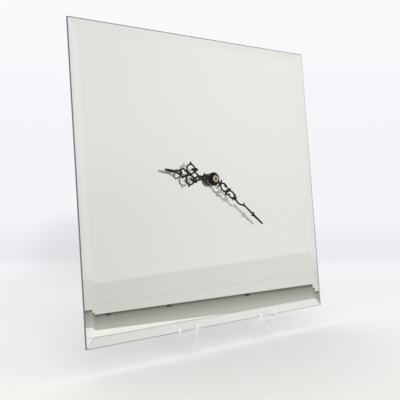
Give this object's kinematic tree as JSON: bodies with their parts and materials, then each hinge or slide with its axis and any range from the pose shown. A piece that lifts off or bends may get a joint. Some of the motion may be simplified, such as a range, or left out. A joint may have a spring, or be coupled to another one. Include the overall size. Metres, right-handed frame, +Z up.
{
  "type": "mirror clock",
  "caption": "Square bevelled mirror clock with pierced black hands and a battery movement behind, standing in a clear bent easel.",
  "frame": {"origin": "on the table, under the middle of the whole clock and easel", "axes": "+Z up, the dial faces -Y and leans back, +X to the right of someone who reads it"},
  "size_m": [0.305, 0.0956, 0.3268],
  "materials": {
    "clear_glass": "clear glass, ground bevel",
    "silver": "silvered face, grey painted back",
    "clear_acrylic": "clear, polished edges",
    "black_hand": "black lacquer on the front, bare metal behind",
    "brass": "turned brass",
    "black_plastic": "moulded",
    "white_plastic": "moulded acetal",
    "rubber": "moulded",
    "plated_steel": "zinc plated",
    "magnet": "sintered",
    "copper": "enamelled copper wire",
    "board": "varnished laminate",
    "resin": "poured resin",
    "cell": "plain sleeve"
  },
  "bodies": {
    "easel": {"easel_stand": "clear_acrylic"},
    "clock": {"mirror_glass": "clear_glass", "silver_backing": "silver", "threaded_bush": "brass", "dial_washer": "brass", "hex_nut": "brass", "rubber_washer": "rubber", "hanger": "plated_steel", "front_case": "black_plastic", "rear_cover": "black_plastic", "train_bridge": "black_plastic", "stator": "plated_steel", "coil_core": "plated_steel", "coil_bobbin": "black_plastic", "coil_winding": "copper", "circuit_board": "board", "chip_cap": "resin", "quartz_crystal": "plated_steel", "contact_positive": "plated_steel", "contact_negative": "plated_steel"},
    "battery": {"battery": "cell"},
    "minute": {"minute_pipe": "brass", "minute_hand": "black_hand", "hand_nut": "brass"},
    "hour": {"hour_wheel": "brass", "hour_hand": "black_hand"},
    "minute_wheel": {"minute_wheel": "white_plastic"},
    "setting": {"setting_shaft": "white_plastic", "setting_knob": "black_plastic"},
    "second": {"second_wheel": "white_plastic"},
    "third": {"third_wheel": "white_plastic"},
    "centre": {"centre_wheel": "white_plastic"},
    "intermediate": {"intermediate_wheel": "white_plastic"},
    "rotor": {"rotor": "white_plastic", "rotor_magnet": "magnet"}
  },
  "joints": [
    {"name": "clock_lift", "type": "slide", "parent": "easel", "child": "clock", "axis": [0, 0.1149, 0.9934], "range_m": [0, 0.1]},
    {"name": "battery_out", "type": "slide", "parent": "clock", "child": "battery", "axis": [0, 0.9934, -0.1149], "range_m": [0, 0.025]},
    {"name": "minute_turn", "type": "hinge", "parent": "clock", "child": "minute", "pos_m": [0, -0.01888, 0.17478], "axis": [0, 0.9934, -0.1149], "continuous": true},
    {"name": "hour_turn", "type": "hinge", "parent": "clock", "child": "hour", "pos_m": [0, -0.01888, 0.17478], "axis": [0, 0.9934, -0.1149], "continuous": true},
    {"name": "minute_wheel_turn", "type": "hinge", "parent": "clock", "child": "minute_wheel", "pos_m": [-0.0007, -0.01796, 0.18269], "axis": [0, 0.9934, -0.1149], "continuous": true},
    {"name": "setting_turn", "type": "hinge", "parent": "clock", "child": "setting", "pos_m": [-0.00136, -0.01709, 0.19021], "axis": [0, 0.9934, -0.1149], "continuous": true},
    {"name": "rotor_turn", "type": "hinge", "parent": "clock", "child": "rotor", "pos_m": [0.01179, -0.01791, 0.18313], "axis": [0, 0.9934, -0.1149], "continuous": true},
    {"name": "intermediate_turn", "type": "hinge", "parent": "clock", "child": "intermediate", "pos_m": [0.00932, -0.01869, 0.17641], "axis": [0, 0.9934, -0.1149], "continuous": true},
    {"name": "second_turn", "type": "hinge", "parent": "clock", "child": "second", "pos_m": [0, -0.01888, 0.17478], "axis": [0, 0.9934, -0.1149], "continuous": true},
    {"name": "third_turn", "type": "hinge", "parent": "clock", "child": "third", "pos_m": [-0.00936, -0.01897, 0.17396], "axis": [0, 0.9934, -0.1149], "continuous": true},
    {"name": "centre_turn", "type": "hinge", "parent": "clock", "child": "centre", "pos_m": [0, -0.01888, 0.17478], "axis": [0, 0.9934, -0.1149], "continuous": true}
  ],
  "couplings": [
    {"joint": "hour_turn", "follows": "minute_turn", "ratio": 0.083333},
    {"joint": "minute_wheel_turn", "follows": "minute_turn", "ratio": -0.33333},
    {"joint": "setting_turn", "follows": "minute_turn", "ratio": 1.25},
    {"joint": "intermediate_turn", "follows": "rotor_turn", "ratio": -0.16667},
    {"joint": "second_turn", "follows": "rotor_turn", "ratio": 0.033333},
    {"joint": "third_turn", "follows": "rotor_turn", "ratio": -0.0044444},
    {"joint": "centre_turn", "follows": "rotor_turn", "ratio": 0.00055556}
  ]
}
